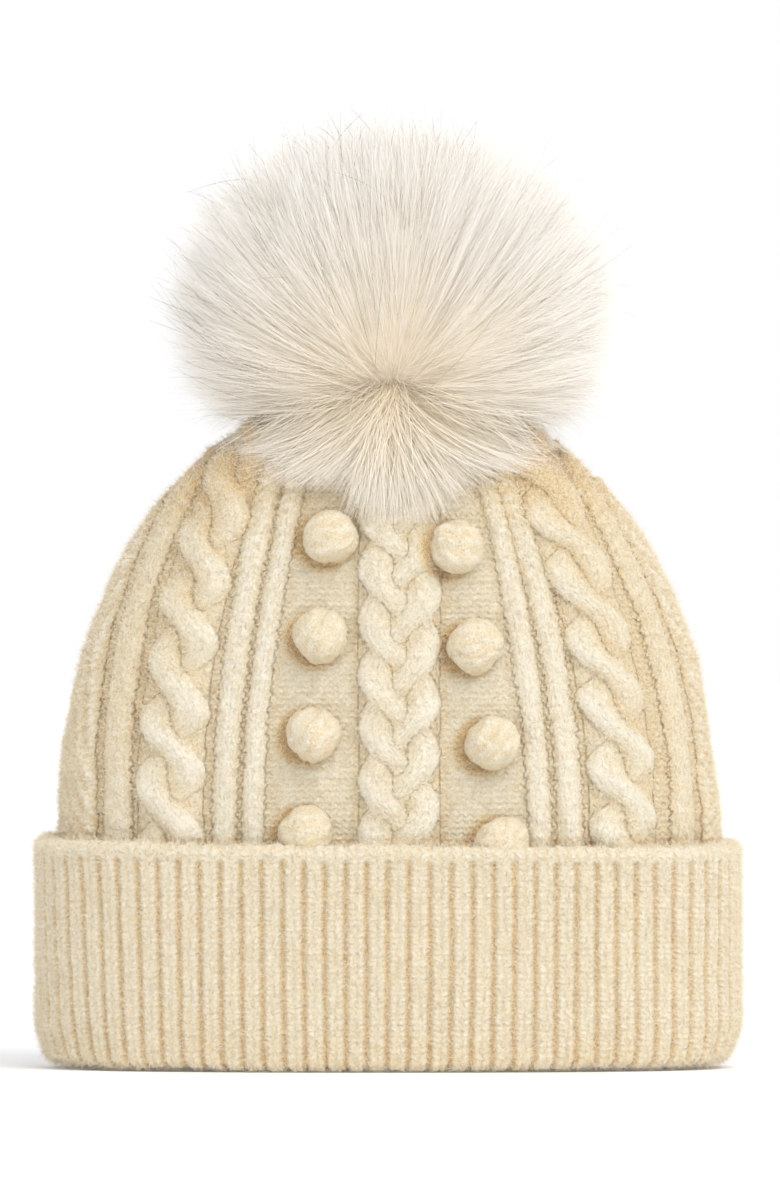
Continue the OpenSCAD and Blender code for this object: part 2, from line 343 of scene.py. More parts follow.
def knit_material(name, stitch_shade=0.12, stitch_relief=0.32, grain_shade=1.9):
    """Brushed knit: V stitches or purl rows from the stitch attribute, painted tan shade in the creases and
    stitch dips, fibre grain.
    """
    n = Nodes(name)
    place = n.coordinates((1, 1, 1))
    grain = n.noise(place, 1500, detail=3.0, roughness=0.7)
    fibres = n.noise(place, 3400, detail=2.0, roughness=0.6)
    mottle = n.noise(place, 130, detail=3.0, roughness=0.6)
    wander = n.times(n.minus(n.noise(place, 420, detail=1.0), 0.5), 0.5)

    across, along, purl = n.split(n.attribute("stitch").outputs["Vector"])
    across = n.math("ADD", across, wander)
    along = n.math("ADD", along, wander)

    wale = n.math("ABSOLUTE", n.minus(n.math("FRACT", across), 0.5))
    legs = n.math("SINE", n.times(wale, 2 * math.pi))
    slant = n.minus(along, n.times(wale, 1.1))
    loops = n.math("COSINE", n.times(slant, 2 * math.pi))
    v_height = n.times(legs, n.math("MULTIPLY_ADD", loops, 0.35, 0.65))

    wave = n.math("SINE", n.times(across, 2 * math.pi))
    rows = n.math("MULTIPLY_ADD", wave, 0.16, along)
    purl_height = n.math("MULTIPLY_ADD", n.math("COSINE", n.times(rows, 2 * math.pi)), 0.5, 0.5)

    chosen = n.put("ShaderNodeMix", data_type="FLOAT")
    n.feed(chosen.inputs[0], purl)
    n.feed(chosen.inputs[2], v_height)
    n.feed(chosen.inputs[3], purl_height)
    stitches = chosen.outputs[0]

    # Painted shade: the colour turns towards tan in the creases and in the dips between stitches; grain and
    # mottle are the yarn's own tone.
    hollow = n.attribute("hollow").outputs["Fac"]
    shade = n.weigh(stitches, -stitch_shade, hollow)
    shade = n.weigh(grain, -grain_shade, shade)
    shade = n.weigh(mottle, -0.25, shade)
    colour = n.ramp(shade, ((0.0, CREAM_LIGHT), (0.36, CREAM), (0.70, SHADE_TAN), (1.0, DEEP_SHADE_TAN)))

    relief = n.bump(stitches, stitch_relief * MM)
    relief = n.bump(grain, 1.1 * MM, strength=0.7, before=relief)
    relief = n.bump(fibres, 0.35 * MM, strength=0.6, before=relief)
    return n.finish(
        colour,
        relief,
        Roughness=0.95,
        Specular_IOR_Level=0.12,
        Sheen_Weight=0.3,
        Sheen_Roughness=0.5,
        Sheen_Tint=(1.0, 0.96, 0.88, 1),
    )


def fibre_material(name, base, tip, sheen=0.3, roughness=0.6, tone_and_shade_share=0.3, glow=0.0):
    """Loose fibres, from their root colour to their tip, a little different from fibre to fibre.

    The tone share sets how much they differ and how deep their painted shade is. glow stands for the light
    that passes through thin fibres."""
    n = Nodes(name)
    along = n.attribute("along").outputs["Fac"]
    tone_and_shade = n.attribute("tone_and_shade").outputs["Fac"]
    colour = n.mix(along, base, tip)
    colour = n.mix(n.times(tone_and_shade, tone_and_shade_share), colour, TONE_SHADE, "MULTIPLY")
    return n.finish(
        colour,
        Roughness=roughness,
        Specular_IOR_Level=0.2,
        Sheen_Weight=sheen,
        Sheen_Roughness=0.4,
        Emission_Color=(1.0, 0.94, 0.84, 1),
        Emission_Strength=glow,
    )


# ---- The body's surface ----


def dome(phi, inset=0.0):
    """Half width, half depth and height at a crown angle, on a surface inset from the purl ground."""
    return (
        (BODY_W - inset) * np.cos(phi) ** SIDE_POWER,
        (BODY_D - inset) * np.cos(phi) ** DEPTH_POWER,
        CUFF_Z + (DOME_RISE - inset) * np.sin(phi),
    )


def crown_angle(z):
    return np.arcsin(np.clip((z - CUFF_Z) / DOME_RISE, 0, 1))


def oval_power(phi):
    return OVAL_POWER - (OVAL_POWER - 2) * np.sin(phi)


def oval_walk(w, d, m):
    """A fine walk round the oval, from the middle of the front towards +X: its points and how far each is."""
    t = np.linspace(-math.pi / 2, 1.5 * math.pi, OVAL_STEPS + 1)
    c, s = np.cos(t), np.sin(t)
    x = w * np.sign(c) * np.abs(c) ** (2 / m)
    y = d * np.sign(s) * np.abs(s) ** (2 / m)
    walked = np.concatenate([[0], np.cumsum(np.hypot(np.diff(x), np.diff(y)))])
    return x, y, walked


def column_x(column, z):
    """How far to the side a column lies at height z."""
    foot, top, bend = column
    rise = np.maximum(0, (z - CUFF_Z) / (COLUMN_TOP_Z - CUFF_Z))
    return (foot + (top - foot) * rise**bend) * MM


def front_depth(x, z):
    """Distance of the front surface from the XZ plane."""
    phi = crown_angle(z)
    w, d, _ = dome(phi)
    m = oval_power(phi)
    return d * np.maximum(0, 1 - np.abs(x / w) ** m) ** (1 / m)


def front_normal(x, z):
    """Outward direction of the front surface."""
    e = 0.2 * MM
    sx = (front_depth(x + e, z) - front_depth(x - e, z)) / (2 * e)
    sz = (front_depth(x, z + e) - front_depth(x, z - e)) / (2 * e)
    return unit(np.array([-sx, -1.0, -sz]))


# ---- Knitted body ----

BODY_COLUMNS = 840
BODY_FOOT_Z = 58 * MM
HIDDEN_ROWS = 14  # rows of points under the cuff
DOME_ROWS = 270  # rows of points above its edge
INNER_ROWS = 90
ROPE_TURN = 39.0 * MM  # height in which a rope's strand comes round again
BRAID_TURN = 49.0 * MM
WALE = 3.3 * MM  # width of one column of V stitches
ROW = 2.4 * MM  # height of one row of stitches
RIB_ROW = 3.5 * MM  # height of one scallop of a narrow rib
PURL_ROW = 1.9 * MM  # height of one row of the purl ground
ROPE_START_L = 81 * MM  # heights at which the ropes' strands cross
ROPE_START_R = 86 * MM
BRAID_START = 78 * MM  # a height at which one strand of the braid is in the middle
SEED_W = 6.2 * MM  # width and height in which the seed stitch repeats
SEED_H = 5.4 * MM
GATHER_Z = (197 * MM, 204 * MM)  # heights between which the columns give way to pleats
PLEATS = 22


def even_ring(w, d, m, z, columns):
    """Evenly spaced points round an oval at height z, how far round each lies, and the oval's fine walk."""
    x, y, walked = oval_walk(w, d, m)
    s = np.arange(columns) / columns * walked[-1]
    points = np.stack([np.interp(s, walked, x), np.interp(s, walked, y), np.full(columns, z)], -1)
    return points, s, (x, walked)


def ring_rows(inset, phis, heights, columns):
    """Points evenly spaced round each row of the body, how far round each one lies, and each row's oval."""
    points, walks, tables = [], [], []
    for phi, z in zip(phis, heights):
        w, d, _ = dome(phi, inset)
        ring, walk, table = even_ring(w, d, oval_power(phi), z, columns)
        points.append(ring)
        walks.append(walk)
        tables.append(table)
    return np.array(points), np.array(walks), tables


def column_places(column, heights, tables):
    """How far from the middle of the front a column lies along each row."""
    places = []
    for z, (x, walked) in zip(heights, tables):
        quarter = len(x) // 4
        place = float(column_x(column, z))
        at = np.interp(abs(place), x[: quarter + 1], walked[: quarter + 1])
        places.append(math.copysign(at, place))
    return np.array(places)[:, None]


def ridge(distance, half_width, height, power=2.4):
    """A rounded, rather flat-topped ridge."""
    t = np.abs(distance) / half_width
    return height * np.maximum(0, 1 - t**power) ** 0.9


def strand(distance, centre, half_width, height, top):
    """A rounded strand whose crest stands at top: its height, and the place across it from -1 to 1."""
    t = (distance - centre) / half_width
    body = np.where(np.abs(t) < 1, top - height + height * np.maximum(0, 1 - t * t) ** 0.75, 0)
    return body, t


def plait(distance, best, courses, half_width, height):
    """Strands over a base, each with its course (centre, top). Gives height and stitch coordinates."""
    across = distance / WALE
    for centre, top in courses:
        body, t = strand(distance, centre, half_width, height, top)
        front = body > best
        best = np.where(front, body, best)
        across = np.where(front, t * 1.5 + 0.5, across)
    return best, across


def rope_field(distance, z, turn_start):
    """Two strands twisted round each other, on a low bed."""
    courses = []
    for k in (0, 1):
        turn = 2 * math.pi * (z - turn_start) / ROPE_TURN + k * math.pi
        centre = -(4.9 * np.sin(turn) + 0.5 * np.sin(2 * turn)) * MM
        courses.append((centre, (3.5 + 1.3 * np.cos(turn)) * MM))
    bed = ridge(distance, half_width=10.8 * MM, height=2.1 * MM)
    return plait(distance, bed, courses, half_width=6.8 * MM, height=3.4 * MM)


def braid_field(distance, z, turn_start):
    """Three plaited strands, on a low bed."""
    courses = []
    for k in (0, 1, 2):
        turn = -2 * math.pi * (z - turn_start) / BRAID_TURN + k * 2 * math.pi / 3
        courses.append((6.9 * MM * np.sin(turn), (3.8 - 0.6 * np.sin(2 * turn)) * MM))
    bed = ridge(distance, half_width=12.6 * MM, height=2.7 * MM, power=2.0)
    return plait(distance, bed, courses, half_width=6.1 * MM, height=2.2 * MM)


def body_pattern(points, walks, heights, tables):
    """Height of the raised stitches over the body's ground, and the stitch coordinates."""
    lengths = np.array([walked[-1] for _, walked in tables])[:, None]
    s = walks - np.where(walks > 0.75 * lengths, lengths, 0)  # front: -L/4 to L/4
    back = (walks > 0.25 * lengths) & (walks < 0.75 * lengths)
    s = np.where(back, walks - 0.5 * lengths, s)  # the back repeats the front
    z = heights[:, None] + 0 * s

    # Hand-made wander: nothing is quite straight or quite even
    s_wander = s + bumps(points, (0.55, 16, 13), (0.3, 6, 14))
    z_wander = z + bumps(points, (1.1, 19, 15), (0.4, 6, 16))

    def scallops(d):
        """0 to 1 along a column: the V-shaped scallops of its stitches."""
        return 0.5 + 0.5 * np.cos(2 * math.pi * (z_wander + 0.6 * np.abs(d)) / RIB_ROW)

    height = np.zeros_like(s)
    across = s / (2.6 * MM)
    along = z / PURL_ROW
    purl = np.ones_like(s)

    def raise_to(field, field_across, is_purl=0.0):
        nonlocal height, across, along, purl
        higher = field > height
        across = np.where(higher, field_across, across)
        along = np.where(higher, z / ROW, along)
        purl = np.where(higher, is_purl, purl)
        height = np.maximum(height, field)

    def distance_from(column):
        return s_wander - column_places(column, heights, tables)

    def raise_rib(column, half_width, widths, rises):
        """A narrow rib. Its half width and height swell from the first of a pair to the pair's sum."""
        d = distance_from(column)
        rows = scallops(d)
        half_widths = half_width * MM * (widths[0] + widths[1] * rows)
        raise_to(ridge(d, half_widths, (rises[0] + rises[1] * rows) * MM), d / WALE + 0.5)

    for column, half_width in RIBS:
        raise_rib(column, half_width, widths=(0.93, 0.20), rises=(1.4, 1.2))
    for column, half_width in ((EDGE_L, 5.3), (EDGE_R, 5.0)):
        raise_rib(column, half_width, widths=(0.95, 0.17), rises=(1.6, 1.0))
    for column, start in ((ROPE_L, ROPE_START_L), (ROPE_R, ROPE_START_R)):
        raise_to(*rope_field(distance_from(column), z_wander, start))
    braid_z = z_wander + bumps(points, (0.9, 12, 19))
    raise_to(*braid_field(distance_from(BRAID), braid_z, BRAID_START))

    panel = np.maximum(-distance_from(SEED_L), distance_from(SEED_R))
    checks = np.cos(2 * math.pi * walks / SEED_W) * np.cos(2 * math.pi * z_wander / SEED_H)
    seed = smoothstep(0, 2.0 * MM, panel) * (1.9 + 1.3 * checks) * MM
    raise_to(seed, walks / (SEED_W / 2), 1.0)

    gather = smoothstep(*GATHER_Z, z)
    pleats = (0.9 + 0.9 * np.cos(walks / lengths * 2 * math.pi * PLEATS)) * MM
    height = height * (1 - gather) + pleats * gather
    return height, across, along, purl


def hollow_of(height):
    """Painted shade in the creases: near 0 on the tops and 1 in the deepest creases, from how far each point
    lies below its surroundings.
    """
    near = blur(height, 2) - height
    wide = blur(height, 7) - height
    return 0.28 + near / (0.9 * MM) * 0.24 + wide / (1.8 * MM) * 0.50


def bobble_places():
    """Centre on the ground of every bobble of the front: x and z."""
    return [
        (float(column_x(column, foot + BOBBLE_PITCH * k)), foot + BOBBLE_PITCH * k)
        for column, foot in ((BOBBLES_L, BOBBLE_FOOT_L), (BOBBLES_R, BOBBLE_FOOT_R))
        for k in range(BOBBLE_COUNT)
    ]


def bobble_painted_shadow(points):
    """Painted tan shade where each bobble meets the ground, moved to its lower left as a painted shadow away
    from the light.
    """
    shade = np.zeros(points.shape[:2])
    turned = np.where(points[..., 1] < 0, 1, -1)
    for x, z in bobble_places():
        away = np.hypot(points[..., 0] * turned - x + 2.6 * MM, points[..., 2] - z + 0.8 * MM)
        shade = np.maximum(shade, 1 - smoothstep(6.5 * MM, 11 * MM, away))
    return shade


def make_body():
    """The knitted body, outside and inside. Gives the piece, and the outside's points and normals."""
    below = np.linspace(BODY_FOOT_Z, CUFF_Z, HIDDEN_ROWS, endpoint=False)
    above = np.linspace(0, CROWN_PHI, DOME_ROWS)
    phis = np.concatenate([np.zeros(HIDDEN_ROWS), above])
    heights = np.concatenate([below, dome(above)[2]])
    points, walks, tables = ring_rows(0.0, phis, heights, BODY_COLUMNS)
    normals = grid_normals(points)
    height, across, along, purl = body_pattern(points, walks, heights, tables)
    soft = blur(blur(blur(height, 1), 1), 1)
    rows = 0.2 * MM * np.cos(2 * math.pi * (along + 0.16 * np.sin(2 * math.pi * across))) * purl
    lay = bumps(points, (0.7, 34, 11), (0.35, 9, 12))
    knobs = bumps(points, (0.42, 3.4, 20)) * smoothstep(0.8 * MM, 2.4 * MM, soft)
    felt = bumps(points, (0.36, 2.3, 17), (0.34, 1.25, 18))
    outer = points + normals * (soft + rows + lay + knobs + felt)[..., None]
    # Painted tan shade: in the creases, round the bobbles, just above the cuff, under the pom and towards the
    # sides of the front.
    hollow = hollow_of(soft) + 0.8 * bobble_painted_shadow(points)
    hollow += 0.30 * (1 - smoothstep(CUFF_Z, CUFF_Z + 4 * MM, points[..., 2]))
    hollow += 0.42 * smoothstep(163 * MM, 192 * MM, points[..., 2])  # in the pom's shade
    outer_edge = np.abs(points[..., 0]) + 0.42 * (points[..., 2] - CUFF_Z)
    hollow += 0.2 * smoothstep(80 * MM, 97 * MM, outer_edge)
    hollow = np.clip(hollow, 0, 1)

    inner_phis = np.concatenate([[0, 0], np.linspace(0, CROWN_PHI, INNER_ROWS)])
    inner_heights = np.concatenate([[BODY_FOOT_Z, 64 * MM], dome(inner_phis[2:], KNIT_T)[2]])
    inner, inner_walks, _ = ring_rows(KNIT_T, inner_phis, inner_heights, BODY_COLUMNS // 2)

    outer_faces = grid_faces(outer)
    inner_faces = grid_faces(inner, start=outer[..., 0].size)[:, ::-1]
    inner_stitch = np.stack([inner_walks / WALE, inner[..., 2] / ROW, np.ones_like(inner_walks)], -1)
    stitch = np.stack([across, along, purl], -1).reshape(-1, 3)
    piece = add_mesh(
        "knit_body_cloth",
        np.concatenate([outer.reshape(-1, 3), inner.reshape(-1, 3)]),
        np.concatenate([outer_faces, inner_faces]),
        {
            "stitch": np.concatenate([stitch, inner_stitch.reshape(-1, 3)]),
            # the inside gets an even painted shade
            "hollow": np.concatenate([hollow.ravel(), np.full(inner_walks.size, 0.45)]),
        },
    )
    return piece, outer, grid_normals(outer)


# ---- Ribbed cuff ----

RIB_COUNT = 84
POINTS_PER_RIB = 13
RIB_H = 1.5 * MM
CUFF_MIDDLE_Z = 35 * MM
CUFF_ROW = 1.8 * MM  # height of one row of the rib knit


def cuff_section():
    """The folded band's middle line (offset, height), its outward direction and the distance along it."""
    out = CUFF_OUT - RIB_H
    inside = -KNIT_T + RIB_H
    bend = 2.8 * MM
    roll = 2.0 * MM
    lowest = RIB_H - 0.1 * MM
    top = CUFF_Z - 0.4 * MM
    parts = []

    def line(a, b, step):
        n = max(2, int(math.dist(a, b) / step))
        parts.append(np.linspace(a, b, n, endpoint=False))

    def arc(centre, radius, start, end, n):
        t = np.radians(np.linspace(start, end, n, endpoint=False))
        parts.append(np.stack([centre[0] + radius * np.cos(t), centre[1] + radius * np.sin(t)], -1))

    line((inside, 67 * MM), (inside, lowest + bend), 2.6 * MM)
    arc((inside + bend, lowest + bend), bend, 180, 270, 7)
    line((inside + bend, lowest), (out - bend, lowest), 0.8 * MM)
    arc((out - bend, lowest + bend), bend, 270, 360, 9)
    line((out, lowest + bend), (out, top - roll), 0.46 * MM)
    arc((out - roll, top - roll), roll, 0, 180, 14)
    line((out - 2 * roll, top - roll), (out - 2 * roll, 40 * MM), 2.6 * MM)
    path = np.concatenate(parts)
    step = np.gradient(path, axis=0)
    outward = unit(np.stack([step[:, 1], -step[:, 0]], -1))
    along = np.concatenate([[0], np.cumsum(np.linalg.norm(np.diff(path, axis=0), axis=1))])
    return path, outward, along


def make_cuff():
    """The folded, ribbed band. Gives the piece, and its points and normals."""
    path, outward, along = cuff_section()
    columns = RIB_COUNT * POINTS_PER_RIB
    rings = [even_ring(BODY_W + offset, BODY_D + offset, OVAL_POWER, z, columns) for offset, z in path]
    base = np.array([ring[0] for ring in rings])
    sideways = unit(np.cross(np.roll(base, -1, 1) - np.roll(base, 1, 1), (0.0, 0.0, 1.0)))
    normals = sideways * outward[:, 0, None, None] + np.array((0, 0, 1.0)) * outward[:, 1, None, None]

    # Ribs lean a little and wander, and stop under the smooth rolled edge
    x, z = base[..., 0], base[..., 2]
    x_share = x / cuff_high.x  # -1 to 1 from side to side
    turns = np.arange(columns)[None, :] / POINTS_PER_RIB
    wander = 0.055 * noise(base * (1, 1, 0.6), 26 * MM, 21) + 0.02 * noise(base, 6 * MM, 22)
    side = np.where(base[..., 1] < 0, 1, -1) * x_share
    lean = 0.55 * np.clip(-side, 0, 1) ** 3 + 0.1 * np.clip(side, 0, 1) ** 3
    lean = lean * (z - CUFF_MIDDLE_Z) / CUFF_MIDDLE_Z
    q = np.abs((turns + wander + lean) % 1.0 - 0.5)  # 0 on a rib, 0.5 in a groove
    loops = np.cos(2 * math.pi * (along[:, None] / CUFF_ROW - 1.1 * q))
    rib = 1 - smoothstep(0.27, 0.49, q + 0.022 * loops)
    rib = rib * (0.88 - 0.09 * np.cos(4 * math.pi * q) + 0.09 * loops)  # one wale wide, looped row by row
    outside = smoothstep(-0.2, 0.6, outward[:, 0])[:, None] * (z > 20 * MM)
    rolled = smoothstep(CUFF_Z - 5.2 * MM, CUFF_Z - 3.4 * MM, z) * outside
    depth = (0.86 + 0.14 * noise(base, 13 * MM, 23)) * RIB_H
    height = np.where(rolled > 0, np.maximum(rib * depth, rolled * 0.92 * RIB_H), rib * depth)
    lay = bumps(base, (0.5, 30, 24), (0.25, 7, 25))
    felt = bumps(base, (0.22, 2.1, 27), (0.22, 1.25, 28))
    lay = lay * smoothstep(2 * MM, 9 * MM, z) + felt
    surface = base + normals * (blur(height, 1) + lay)[..., None]

    # The edge dips towards the middle of the front and stands a little higher at the left
    high_share = smoothstep(45 * MM, CUFF_Z, z)
    dip = 1.4 * x_share**2 - 0.9 * x_share - 0.8
    surface[..., 2] += high_share * (dip + 0.5 * noise(base * (1, 1, 0), 17 * MM, 26)) * MM

    # The lower corners are rounded, and the lower edge waves a little
    ends = np.minimum(np.abs(x_share), 1) ** 5
    low_share = 1 - smoothstep(0, 20 * MM, z)
    surface[..., 0] -= np.sign(x) * 3.2 * MM * ends * low_share**2
    surface[..., 2] += low_share * (1.6 * ends + 0.5 + 0.5 * noise(base * (1, 1, 0), 21 * MM, 29)) * MM
    surface[..., 2] = np.maximum(surface[..., 2], 0.05 * MM)

    # Painted shade: darker towards the bottom of the band and in the grooves between the ribs, none on the
    # rolled edge.
    low = 0.12 * (1 - smoothstep(0, 16 * MM, z))
    hollow = np.clip(0.26 + low + 0.46 * smoothstep(0.24, 0.49, q) * (1 - rolled), 0, 1)
    stitch = np.stack(
        [
            np.abs(turns + wander + lean - RIB_COUNT / 2),  # the same on both sides of the middle
            along[:, None] / CUFF_ROW + 0 * turns,
            np.zeros(surface.shape[:2]),
        ],
        -1,
    )
    piece = add_mesh("ribbed_cuff_cloth", surface, grid_faces(surface), {"stitch": stitch, "hollow": hollow})
    return piece, surface, grid_normals(surface)


# ---- Bobbles ----

BOBBLE_R = 8.4 * MM
BOBBLE_ROWS = 44
BOBBLE_COLUMNS = 64


def bobble_points(centre, normal, seed, depth):
    """A yarn ball, pinched at its root, with strands wrapped aslant: points, stitch coordinates, painted
    shade.
    """
    polar = np.linspace(0.02, math.pi - 0.02, BOBBLE_ROWS)[:, None]
    turn = turns_of(BOBBLE_COLUMNS)[None, :]
    side = unit(np.cross((0.0, 0.0, 1.0), normal))
    up = np.cross(normal, side)
    ring = np.sin(polar) * np.ones_like(turn)
    out = np.cos(polar) * np.ones_like(turn)
    pinch = 1 - 0.22 * smoothstep(0.1, 0.9, -out)
    local = (
        side * (ring * np.cos(turn) * pinch)[..., None]
        + up * (ring * np.sin(turn) * pinch)[..., None]
        + np.asarray(normal) * (out * depth)[..., None]
    )
    rough = 1 + 0.07 * noise(local, 0.8, seed) + 0.055 * noise(local, 0.3, seed + 1)
    rough = rough + 0.035 * noise(local, 0.15, seed + 2)
    tilt = 0.5 + 0.6 * math.sin(seed)  # the wraps run aslant
    axis = up * math.cos(tilt) - side * math.sin(tilt)
    coil = 1.7 * (local @ axis) + 0.35 * noise(local, 0.5, seed + 3)
    wraps = 0.02 * np.cos(2 * math.pi * coil) * smoothstep(-0.3, 0.5, out)
    points = np.asarray(centre) + local * (BOBBLE_R * (rough + wraps))[..., None]
    stitch = np.stack([0 * ring + 0.25, coil * 2.2, 0 * ring], -1)  # strands only, no columns of stitches
    # Painted shade: darker in the grooves between the wraps and on the half towards the ground.
    hollow = np.clip(0.42 - 4 * wraps + 0.5 * smoothstep(-0.45, 0.7, -out), 0, 1)
    return points, stitch, hollow


def make_bobbles(name, column, foot_z, behind, seed):
    """A column of bobbles, on the front or turned to the back. Gives the piece and each bobble's skin."""
    points, stitches, hollows, faces = [], [], [], []
    skins = []
    for k in range(BOBBLE_COUNT):
        z = foot_z + BOBBLE_PITCH * k
        x = float(column_x(column, z))
        normal = front_normal(x, z)
        squeeze = 1.0 if k else 0.78  # the cuff presses the lowest one
        stand = (3.4 if k else 2.2) * MM
        centre = np.array([x, -float(front_depth(x, z)), z]) + normal * stand
        p, stitch, hollow = bobble_points(centre, normal, seed + 5 * k, squeeze)
        faces.append(grid_faces(p, start=sum(len(q) for q in points)))
        points.append(p.reshape(-1, 3))
        skins.append(p * (-1, -1, 1) if behind else p)
        stitches.append(stitch.reshape(-1, 3))
        hollows.append(hollow.ravel())
    points = np.concatenate(points)
    if behind:
        points = points * (-1, -1, 1)
    attributes = {"stitch": np.concatenate(stitches), "hollow": np.concatenate(hollows)}
    return add_mesh(name, points, np.concatenate(faces), attributes), skins


# ---- Loose fibres ----


def ribbons(name, spine, side, widths, tone_and_shade):
    """Thin flat fibres: spine (count, steps, 3), side (count, 3), half widths at each step, and tones with
    any painted shade.
    """
    count, steps = spine.shape[:2]
    offset = side[:, None, :] * widths[..., None]
    points = np.stack([spine - offset, spine + offset], 2).reshape(-1, 3)
    base = (np.arange(count) * steps * 2)[:, None] + np.arange(steps - 1)[None, :] * 2
    faces = np.stack([base, base + 1, base + 3, base + 2], -1).reshape(-1, 4)
    along = np.broadcast_to(np.linspace(0, 1, steps)[None, :, None], (count, steps, 2))
    tones_and_shades = np.broadcast_to(tone_and_shade[:, None, None], (count, steps, 2))
    return add_mesh(name, points, faces, {"along": along.ravel(), "tone_and_shade": tones_and_shades.ravel()})


def scatter(rng, surface, normals, count, weight=None):
    """Random places on a grid that closes along its rows: points and normals."""
    a = surface[:-1]
    b = np.roll(surface, -1, 1)[:-1]
    c = surface[1:]
    area = np.linalg.norm(np.cross(b - a, c - a), axis=-1)
    if weight is not None:
        area = area * weight[:-1]
    chance = (area / area.sum()).ravel()
    pick = rng.choice(chance.size, count, p=chance)
    i, j = np.unravel_index(pick, area.shape)
    u, v = rng.random((2, count, 1))
    p = a[i, j] + (b[i, j] - a[i, j]) * u + (c[i, j] - a[i, j]) * v
    return p, normals[i, j]


def fuzz(name, rng, places, normals, length, half_width, lie, steps):
    """Short fibres that stand off a surface: straight with 2 steps, bent with more. lie is 1 for flat."""
    count = len(places)
    tangent = rng.normal(size=(count, 3))
    tangent = unit(tangent - (tangent * normals).sum(1, keepdims=True) * normals)
    curl = unit(np.cross(normals, tangent))
    reach = length[0] + (length[1] - length[0]) * rng.random((count, 1)) ** 1.6
    flat = np.clip(lie + 0.22 * rng.normal(size=(count, 1)), 0.1, 0.95)
    rise = np.sqrt(1 - flat**2)
    bend = 0.45 * rng.normal(size=(count, 1)) * (steps > 2)
    t = np.linspace(0, 1, steps)[None, :, None]
    spine = (
        places[:, None]
        + (reach * rise)[:, None] * normals[:, None] * (t - 0.3 * t**2 * (steps > 2))
        + (reach * flat)[:, None] * tangent[:, None] * t
        + (reach * bend)[:, None] * curl[:, None] * t**2
    )
    spine[..., 2] = np.maximum(spine[..., 2], 0.2 * MM)  # none reaches into the floor
    side = unit(np.cross(spine[:, -1] - spine[:, 0], rng.normal(size=(count, 3))))
    widths = half_width * np.maximum(0.2, 1 - t[..., 0] ** 2) * (0.7 + 0.6 * rng.random((count, 1)))
    return ribbons(name, spine, side, widths, rng.random(count))


# ---- Pom ----

POM_CENTRE = np.array([2.0 * MM, 0.0, 235 * MM])
POM_RADII = np.array([71.5 * MM, 67 * MM, 63 * MM])
POM_POWER = 2.25  # the ball is a little square, flatter on top
PILE_STEPS = 6
FRINGE_STEPS = 9
LOWEST_ROOT = -0.62  # no strand of the ball grows below this share of straight down
WHORL = unit(np.array([-0.035, -0.80, -0.60]))  # where the fur parts, low on the front
UNDERCOAT_SHARE = 0.765  # height of the woolly coat, as a share of the ball's radius
CORE_GATHERS = 16


def from_whorl(directions):
    """The angle of directions from the whorl, in radians."""
    return np.arccos(np.clip(directions @ WHORL, -1, 1))


def vector_noise(points, size, seed):
    """Three noises that don't follow one another, for directions."""
    return np.stack([noise(points, size, seed + k) for k in range(3)], -1)


def crown_push(points, margin):
    """Moves points that are inside the crown out to margin from it."""
    z = points[..., 2]
    phi = crown_angle(z)
    w, d, _ = dome(phi)
    m = oval_power(phi)
    inside = (np.abs(points[..., 0]) / (w + margin)) ** m + (np.abs(points[..., 1]) / (d + margin)) ** m
    grow = np.where((inside < 1) & (z < body_high.z), np.maximum(inside, 0.15) ** (-1 / m), 1.0)
    out = points.copy()
    out[..., :2] *= grow[..., None]
    return out


def ball_radius(direction):
    """Distance from the pom's centre to its outline in a direction; the ball tucks in underneath."""
    tuck = 1 - 0.13 * np.clip(-direction[..., 2:], 0, 1)
    return tuck * (np.abs(direction / POM_RADII) ** POM_POWER).sum(-1, keepdims=True) ** (-1 / POM_POWER)


def lean_away(n, rng):
    """Directions of the tips of strands rooted in directions n: combed away from the whorl, in locks."""
    angle = from_whorl(n)
    away = unit(n * (n @ WHORL)[:, None] - WHORL)
    lean = np.radians(46) * np.exp(-((angle / np.radians(66)) ** 2)) + np.radians(5)
    lean = lean * (1 - np.exp(-((angle / np.radians(9)) ** 2)))
    lean = lean + np.radians(8) * rng.normal(size=len(n))
    drift = rng.normal(size=n.shape) * 0.085
    tip = unit(n * np.cos(lean)[:, None] + away * np.sin(lean)[:, None] + drift)
    return unit(tip + 0.10 * vector_noise(tip, 0.30, 31) + 0.07 * vector_noise(tip, 0.13, 35))


def flowing(n, tip_direction, root, tip_radius):
    """Strands from radius root in directions n, bent over to their tips."""
    t = np.linspace(0, 1, PILE_STEPS)[None, :, None]
    bent = t**0.85
    direction = unit(n[:, None] * (1 - bent) + tip_direction[:, None] * bent)
    radius = root + (tip_radius[:, None] - root) * t**0.9
    return POM_CENTRE + direction * radius


def strands(name, rng, spine, half_width, turned=0.5):
    """Fine tapering strands along their spines. Each faces outward, more loosely the more turned is."""
    count, steps = spine.shape[:2]
    t = np.linspace(0, 1, steps)[None, :]
    outward = unit(spine[:, -1] - POM_CENTRE)
    facing = outward + turned * rng.normal(size=(count, 3))
    side = unit(np.cross(spine[:, -1] - spine[:, -3], facing))
    taper = np.maximum(0.15, 1 - t**2.0)
    widths = half_width * taper * (0.7 + 0.6 * rng.random((count, 1)))
    whorl_shade = 0.9 * np.exp(-((from_whorl(outward) / np.radians(58)) ** 2))  # painted shade: darker and creamier round the whorl, where the fur parts
    return ribbons(name, spine, side, widths, 0.5 * rng.random(count) + whorl_shade)


